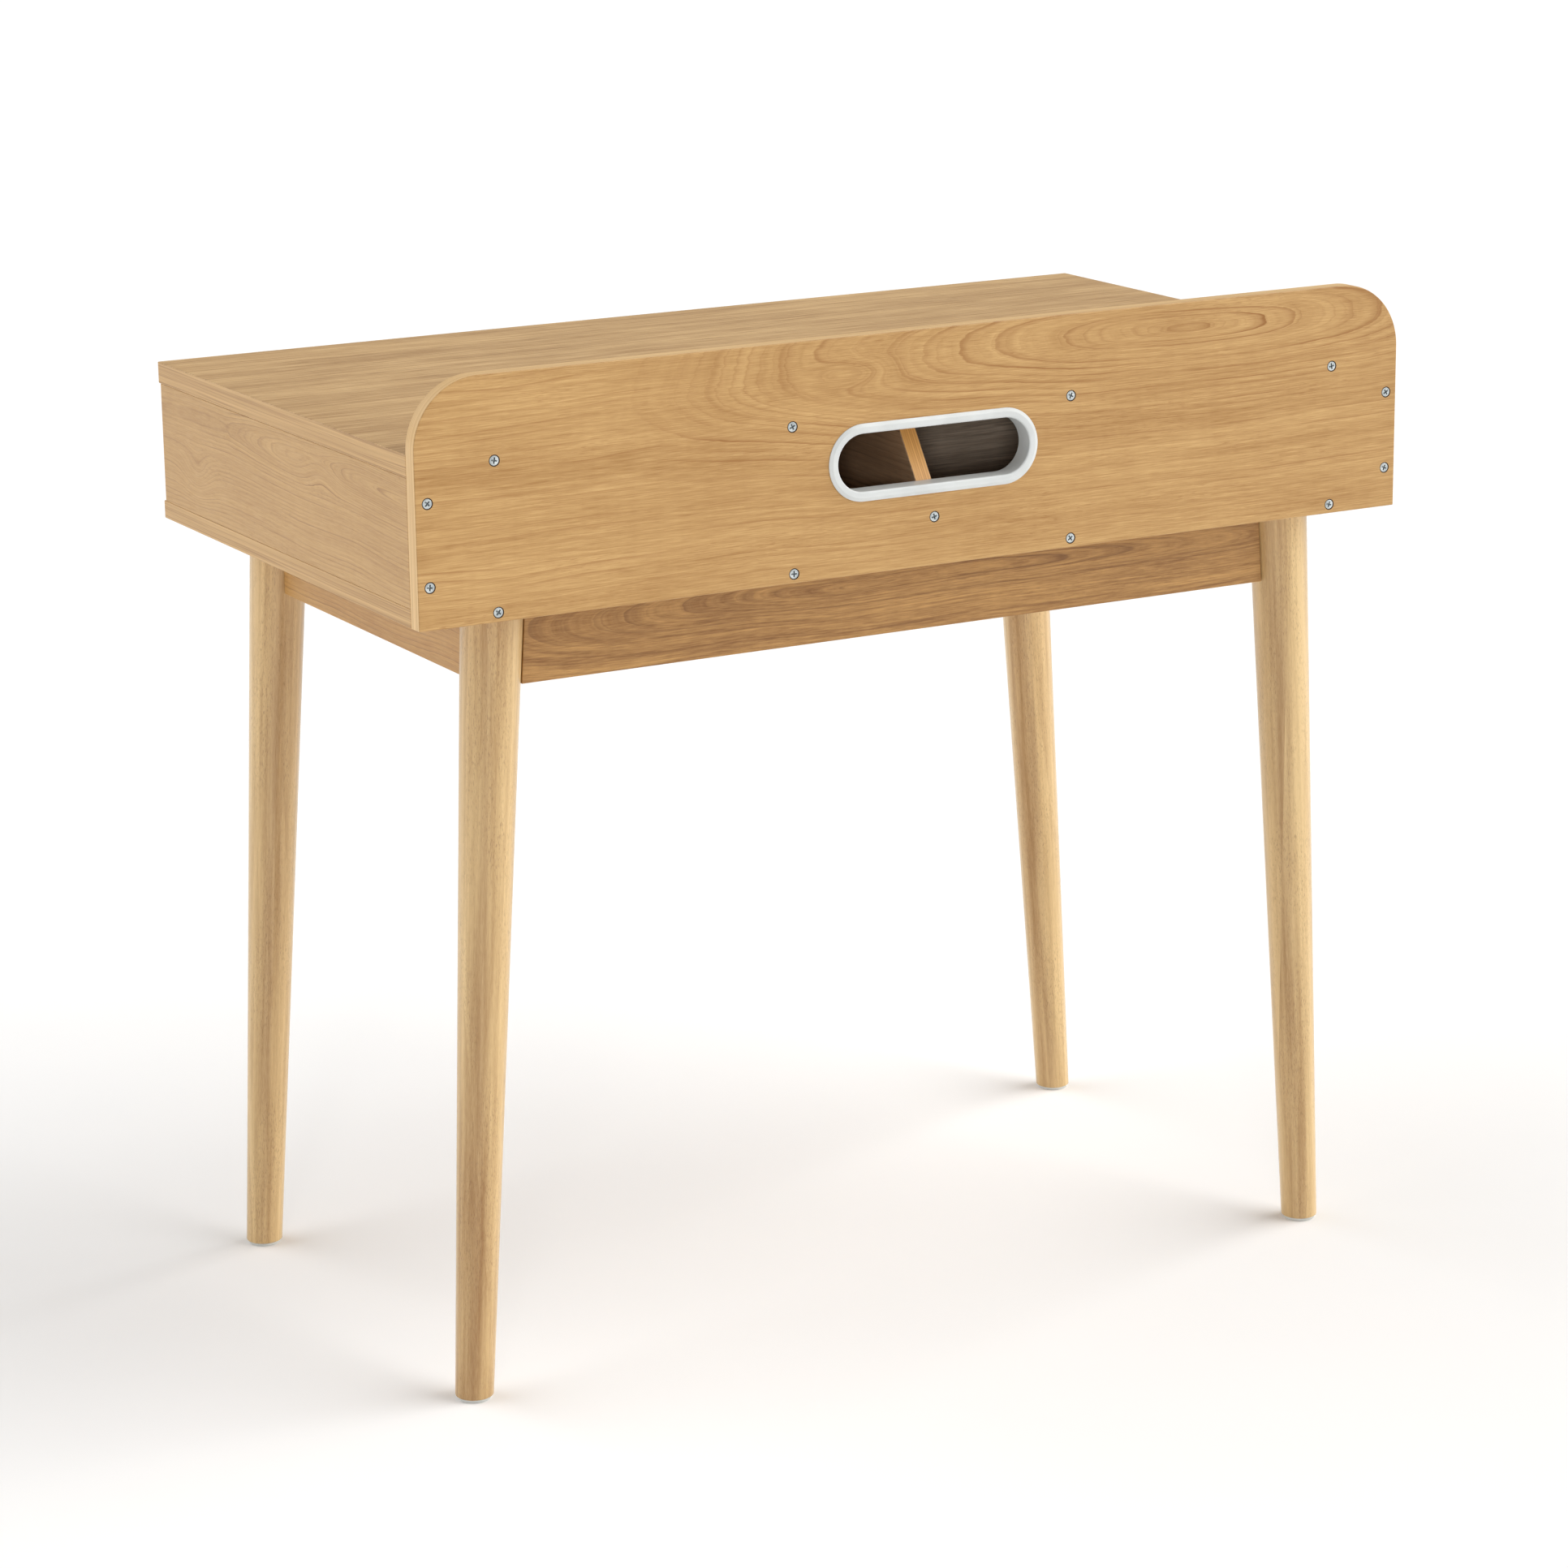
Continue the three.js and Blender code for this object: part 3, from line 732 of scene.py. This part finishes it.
def screw_place(node):
    """The middle of a back screw's head, on its outer face."""
    low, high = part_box(node)
    return Vector(((low.x + high.x) / 2, high.y, (low.z + high.z) / 2))


def stadium_path(reach, steps):
    """Round a slot's two half circles: the circle's centre in X, and the outward direction."""
    for side, start in ((1, -90), (-1, 90)):
        for step in range(steps + 1):
            angle = math.radians(start + 180 * step / steps)
            yield side * reach, math.cos(angle), math.sin(angle)


def add_back_board(face, band, painted_hole_shade):
    """The back board: rounded upper corners, drilled for its screws and cut for the grommet."""
    node = "back_panel"
    low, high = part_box(node)
    straight = max(v.co.z for v in NODES[node].data.vertices if v.co.x > high.x - SAME_PLACE)
    radius = high.z - straight
    outline = [Vector((low.x, low.z)), Vector((high.x, low.z))]
    for side, start in ((1, 0), (-1, 90)):
        outline += [Vector(point) for point in arc(side * (high.x - radius), high.z - radius,
                                                   radius, start, start + 90, CORNER_STEPS)]
    to_space = PLANES["y"][1]
    ease = 0.8 * MM
    mesh = slab_mesh(node + "_board", round_corners(outline, ease), low.y, high.y, to_space, ease)
    piece = new_piece(node + "_board", mesh, (face, band), node)

    cutters = []
    hole = SCREW_HOLE
    inside, outside = low.y - MM, high.y + MM
    for screw in SCREW_NODES:
        at = screw_place(screw)
        profile = [(0, inside), (hole["radius"], inside), (hole["radius"], high.y - hole["cone"]),
                   (hole["mouth"], high.y), (hole["mouth"], outside), (0, outside)]
        cutters.append(turned_mesh("cut", profile, 48,
                                   lambda x, y, level, at=at: (at.x + x, level, at.z + y)))
    flange_low, flange_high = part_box("cable_grommet")
    middle = (flange_low.z + flange_high.z) / 2
    radius = (flange_high.z - flange_low.z) / 2 - FLANGE_OVERLAP
    reach = (flange_high.x - flange_low.x) / 2 - FLANGE_OVERLAP - radius
    slot = [Vector((centre + radius * cos, radius * sin))
            for centre, cos, sin in stadium_path(reach, SLOT_STEPS)]
    cutters.append(slab_mesh("cut", slot, inside, outside,
                             lambda a, b, level: (a, level, b + middle), CUTTER_EASE, steps=1))
    whole = joined("cut", cutters)
    whole.polygons.foreach_set("material_index", [0] * len(whole.polygons))
    # The holes' walls take the dark board colour: painted shade round each screw head.
    carve(piece, loose_object("cut", whole, [painted_hole_shade]))
    weigh_normals(piece)


TOP_FIGURE = Figure(0.25, 0.06, (0.5, 0.05), (0.9, 0.10))
SIDE_FIGURE = Figure(0.3, 0.74, (0.5, 0.10), (0.4, 0.05),
                     knots=((0.09, 0.733, 0.035, 0.012, 5.0), (-0.17, 0.69, 0.03, 0.02, -5.0)))
BACK_FIGURE = Figure(-0.245, 0.812, (0.7, 0.111), (0.22, 0.04),
                     knots=((0.075, 0.803, 0.03, 0.009, 2.2), (0.46, 0.745, 0.09, 0.02, 1.2)),
                     crowd=0.012, faint=(0.03, 0.085), straight=(0.16, 0.30))
APRON_FIGURE = Figure(0.05, 0.624, (0.62, 0.085), (0.6, 0.03), crowd=0.018, faint=(0.012, 0.035))
APRON_EASE = 0.5 * MM


def add_boards():
    """The carcase boards and the aprons. The last argument of laminate, where there is one, picks
    another stretch of the print."""
    band_x = edge_band("edge_band_top", MAPLE, "xyz")
    top = laminate("top_laminate", ASH, "xyz", TOP_FIGURE, (3.1, 1.7))
    add_board("top_panel", "z", top, band_x)
    bottom = laminate("bottom_laminate", MAPLE, "xyz", Figure(-0.2, 0.3), (1.3, 0.4))
    add_board("bottom_panel", "z", bottom, band_x)

    side = laminate("side_laminate", MAPLE, "yzx", SIDE_FIGURE, (0.7, 0.35))
    band_side = edge_band("edge_band_side", MAPLE, "yzx")
    for node in ("side_panel_left", "side_panel_right"):
        add_board(node, "x", side, band_side)
    inner = laminate("inner_laminate", INNER_FOIL, "yzx", Figure(0.1, 0.8), (2.7, 1.35))
    add_board("center_divider", "x", inner, edge_band("inner_band", HONEY_BAND, "yzx"))

    back = laminate("back_laminate", CHERRY, "xzy", BACK_FIGURE)
    add_back_board(back, edge_band("edge_band_back", BIRCH_BAND, "xzy"), hole_board_painted_shade())

    # The front and rear aprons and their bands take the darker cherry: painted shade under the
    # overhang.
    for node in ("apron_front", "apron_rear"):
        apron = laminate(node + "_laminate", CHERRY_PAINTED_SHADE, "xzy", APRON_FIGURE, (0.4, 0.2))
        add_board(node, "y", apron, edge_band(node + "_band", CHERRY_PAINTED_SHADE, "xzy"), APRON_EASE)
    apron_side = laminate("apron_side_laminate", AMBER, "yzx", Figure(0.1, 0.7), (1.9, 0.6))
    for node in ("apron_left", "apron_right"):
        add_board(node, "x", apron_side, edge_band(node + "_band", AMBER, "yzx"), APRON_EASE)


# ---------------------------------------------------------------- legs and glides

def leg_axis(node):
    """The middles of a leg's level top and bottom faces."""
    co = [v.co for v in NODES[node].data.vertices]
    low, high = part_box(node)
    ends = []
    for level in (low.z, high.z):
        ring = [p for p in co if abs(p.z - level) < SAME_PLACE]
        xs, ys = [p.x for p in ring], [p.y for p in ring]
        middle = Vector(((min(xs) + max(xs)) / 2, (min(ys) + max(ys)) / 2, level))
        ends.append((middle, (max(xs) - min(xs)) / 2))
    return ends


# How the staves lie in each leg, and which way the painted shade down its middle lies. The turn is
# from +X, in degrees.
LEG_STAVES = {
    "leg_rear_right": {"stave_turn": 151.0, "offset": -0.061, "seed": 8.0},
    "leg_rear_left": {"stave_turn": 140.0, "stave_slope": -0.05, "offset": 0.02, "seed": 12.0},
    "leg_front_right": {"stave_turn": 160.0, "stave_slope": 0.06, "offset": 0.01, "seed": 23.0},
    "leg_front_left": {"stave_turn": 120.0, "stave_slope": 0.03, "offset": 0.015, "seed": 31.0},
}


LEG_EDGE = 1.5 * MM
LEG_RINGS = 24
GLIDE_LIP = 0.8 * MM
GLIDE_TOP_EDGE = 0.3 * MM


def add_leg(leg, glide, pale):
    """A tapered leg, splayed sideways, and the glide under it. Both are level above and below."""
    (foot, foot_flat), (head, head_radius) = leg_axis(leg)
    height = head.z - foot.z

    def to_space(x, y, level):
        middle = foot.lerp(head, (level - foot.z) / height)
        return middle.x + x, middle.y + y, level

    foot_radius = foot_flat + LEG_EDGE
    edge_top = foot.z + LEG_EDGE
    profile = [(0, foot.z)] + arc(foot_flat, edge_top, LEG_EDGE, -90, 0)
    for ring in range(1, LEG_RINGS + 1):
        share = ring / LEG_RINGS
        profile.append((foot_radius + (head_radius - foot_radius) * share,
                        edge_top + (head.z - edge_top) * share))
    profile.append((0, head.z))
    lean = (head.x - foot.x) / height
    blank = Blank((foot.x - lean * foot.z, foot.y), lean, **LEG_STAVES[leg])
    mesh = turned_mesh(leg + "_turned", profile, 72, to_space)
    wood = rubberwood(leg + "_wood", "zxy", blank)
    weigh_normals(new_piece(leg + "_turned", mesh, (wood,), leg))

    low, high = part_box(glide)
    radius = (high.y - low.y) / 2
    profile = [(0, low.z)] + arc(radius - GLIDE_LIP, low.z + GLIDE_LIP, GLIDE_LIP, -90, 0, 4)
    profile += arc(radius - GLIDE_TOP_EDGE, foot.z - GLIDE_TOP_EDGE, GLIDE_TOP_EDGE, 0, 90, 2)
    profile += [(0, foot.z)]
    mesh = turned_mesh(glide + "_disc", profile, 48, to_space)
    weigh_normals(new_piece(glide + "_disc", mesh, (pale,), glide))


def add_legs():
    pale = moulded("glide_plastic", (214, 216, 212), (198, 201, 198), 0.35)
    for end in ("front", "rear"):
        for side in ("left", "right"):
            add_leg(f"leg_{end}_{side}", f"glide_{end}_{side}", pale)


# ---------------------------------------------------------------- screws

SCREW = {"head": 3.85 * MM, "slope": 2.3 * MM, "shank": 1.9 * MM, "length": 8 * MM,
         "edge": 0.25 * MM, "taper": 0.15 * MM, "taper_start": 0.35 * MM}
# The cross at its mouth and at its bottom: level, length of an arm, half of an arm's width.
CROSS = ((0.3 * MM, 2.75 * MM, 0.66 * MM), (-1.7 * MM, 1.3 * MM, 0.4 * MM))
FIRST_TURN, TURN_STEP = 17, 37      # degrees, so that no two crosses in a row lie alike


def screw_head_mesh(name, at):
    """A flat countersunk head on a short shank, its top at the point at, facing +Y."""
    head, shank, length, edge = (SCREW[k] for k in ("head", "shank", "length", "edge"))
    profile = [(0, -length), (shank, -length), (shank, -SCREW["slope"]),
               (head - SCREW["taper"], -SCREW["taper_start"])]
    profile += arc(head - edge, -edge, edge, 0, 90, 3)
    profile += [(0, 0.0)]
    return turned_mesh(name, profile, 48, lambda x, y, level: (at.x + x, at.y + level, at.z + y))


def cross_cutter(at, turn):
    """The tapered cross that leaves the recess."""
    mesh = bmesh.new()
    rings = []
    for level, arm, half in CROSS:
        ring = []
        for quarter in range(4):
            for x, y in ((half, half), (arm, half), (arm, -half)):
                spun = Matrix.Rotation(turn - quarter * math.pi / 2, 2) @ Vector((x, y))
                ring.append(mesh.verts.new((at.x + spun.x, at.y + level, at.z + spun.y)))
        rings.append(ring)
    skin(mesh, *rings)
    for ring in rings:
        mesh.faces.new(ring)
    return finished_mesh(mesh, "cross")


def add_screws():
    steel, shade = zinc("zinc_steel"), recess_zinc_painted_shade()
    for bolt in (n for n in NODES if n.startswith("leg_bolt_")):
        dress(bolt, steel)
    for i, node in enumerate(SCREW_NODES):
        at = screw_place(node)
        turn = math.radians(FIRST_TURN + TURN_STEP * i)
        piece = new_piece(node + "_head", screw_head_mesh(node + "_head", at), (steel,), node)
        carve(piece, loose_object("cut", cross_cutter(at, turn), (shade,)))
        shade_smooth(piece, sharp_above=30)


# ---------------------------------------------------------------- grommet

GROMMET_RIM = 8 * MM            # from the flange's outer edge in to the opening
GROMMET_WALL = 3.5 * MM
GROMMET_STEPS = 40
FLANGE_GAP = 0.02 * MM          # keeps the flange's back off the board's face


def add_grommet():
    """A slot-shaped ring: a tube through the back board, and a flange on the board's face."""
    node = "cable_grommet"
    low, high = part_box(node)
    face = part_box("back_panel")[1].y
    top = high.y
    half = (high.z - low.z) / 2
    reach = (high.x - low.x) / 2 - half
    inner = half - GROMMET_RIM
    tube = inner + GROMMET_WALL
    section = [(tube, low.y), (tube, face + FLANGE_GAP), (half, face + FLANGE_GAP)]
    section += arc(half - 0.4 * MM, face + 0.5 * MM, 0.4 * MM, 0, 50, 3)
    section += arc(half - 2.9 * MM, top - 0.5 * MM, 0.5 * MM, 50, 90, 3)
    section += [(half - 5.4 * MM, top)]
    section += arc(inner + 1.6 * MM, top - 1.75 * MM, 1.6 * MM, 75, 180, 7)
    section += [(inner, low.y)]
    middle = (low.z + high.z) / 2
    mesh = bmesh.new()
    rings = []
    for centre, cos, sin in stadium_path(reach, GROMMET_STEPS):
        rings.append([mesh.verts.new((centre + r * cos, y, middle + r * sin)) for r, y in section])
    for ring, following in zip(rings, rings[1:] + rings[:1]):
        skin(mesh, ring, following)
    made = finished_mesh(mesh, node + "_ring")
    white = moulded("grommet_plastic", (212, 215, 214), (205, 208, 207), 0.34)
    weigh_normals(new_piece(node + "_ring", made, (white,), node))


# ---------------------------------------------------------------- drawers

KNOB = {"neck": 8.5 * MM, "flare": 1.5 * MM, "cove": 6 * MM, "cove_start": 8 * MM, "brow": 0.8 * MM,
        "dome": 5 * MM, "hole": 2.3 * MM, "hole_depth": 12 * MM}
DOME_STEPS = 16
GROOVE_GAP = 0.25 * MM
BOX_EASE = 0.4 * MM
FLOOR_EASE = 0.2 * MM
FRONT_FIGURE = Figure(0.1, 0.70, (0.6, 0.08), (0.5, 0.05))


def add_knob(node, wood):
    """A turned knob: a flared foot, a neck that coves out to the rim, and a shallow dome."""
    low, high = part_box(node)
    middle_x, middle_z = (low.x + high.x) / 2, (low.z + high.z) / 2
    radius, length = (high.x - low.x) / 2, high.y - low.y
    neck, flare, cove, start, brow = (KNOB[k] for k in ("neck", "flare", "cove", "cove_start", "brow"))
    profile = [(0, KNOB["hole_depth"]), (KNOB["hole"], KNOB["hole_depth"]), (KNOB["hole"], 0)]
    profile += arc(neck + flare, flare, flare, -90, -180, 5)
    profile += arc(neck + cove, start, cove, 180, 90, 12)
    profile += arc(radius - brow, start + cove + brow, brow, -80, 0, 5)
    for step in range(DOME_STEPS + 1):
        angle = math.pi / 2 * step / DOME_STEPS
        profile.append((radius * math.cos(angle), length - KNOB["dome"] * (1 - math.sin(angle))))
    profile[-1] = (0, length)
    mesh = turned_mesh(node + "_turned", profile, 72,
                       lambda x, y, level: (middle_x + x, high.y - level, middle_z + y))
    weigh_normals(new_piece(node + "_turned", mesh, (wood,), node))


def floor_groove(side, rear):
    """Cuts the room that a drawer's bottom needs in the boards round it, as far back as rear."""
    low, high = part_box(f"drawer_{side}_bottom")
    left, right = low.x - GROOVE_GAP, high.x + GROOVE_GAP
    outline = [Vector((left, low.y - MM)), Vector((right, low.y - MM)),
               Vector((right, rear)), Vector((left, rear))]
    return slab_mesh("cut", outline, low.z - GROOVE_GAP, high.z + GROOVE_GAP, PLANES["z"][1],
                     CUTTER_EASE, steps=1)


def add_drawers(steel, knob_wood):
    """Both drawers. Sides and backs are grooved for the bottoms."""
    front = laminate("front_laminate", MAPLE, "xzy", FRONT_FIGURE, (2.3, 0.9))
    front_band = edge_band("front_band", MAPLE, "xzy")
    back = laminate("drawer_back_laminate", SMOKED_OAK, "xzy", Figure(0.0, 0.9), (5.1, 2.2))
    back_band = edge_band("drawer_back_band", SMOKED_OAK, "xzy")
    wall_board = laminate("drawer_side_laminate", OAK_FOIL, "yzx", Figure(0.0, 0.9), (4.4, 3.2))
    wall_band = edge_band("drawer_side_band", OAK_FOIL, "yzx")
    floor = laminate("drawer_floor", OAK_FOIL, "xyz", Figure(0.0, 0.4), (6.4, 1.2))
    for side in ("left", "right"):
        name = f"drawer_{side}_"
        floor_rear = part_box(name + "bottom")[1].y + GROOVE_GAP
        add_board(name + "front", "y", front, front_band)
        add_board(name + "back", "y", back, back_band, BOX_EASE, floor_groove(side, floor_rear))
        add_board(name + "bottom", "z", floor, floor, FLOOR_EASE)
        add_knob(name + "knob", knob_wood)
        dress(name + "knob_screw", steel)
        for wall in ("inner", "outer"):
            wall_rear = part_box(f"{name}side_{wall}")[1].y + MM
            add_board(f"{name}side_{wall}", "x", wall_board, wall_band, BOX_EASE,
                      floor_groove(side, wall_rear))
            dress(f"{name}runner_{wall}", steel)
            dress(f"cabinet_runner_{side}_{wall}", steel)


# ---------------------------------------------------------------- the scene

add_camera()
add_studio()
add_boards()
add_legs()
add_screws()
add_grommet()
add_drawers(zinc("runner_steel"), rubberwood("knob_wood", "xyz", Blank(seed=3.0)))
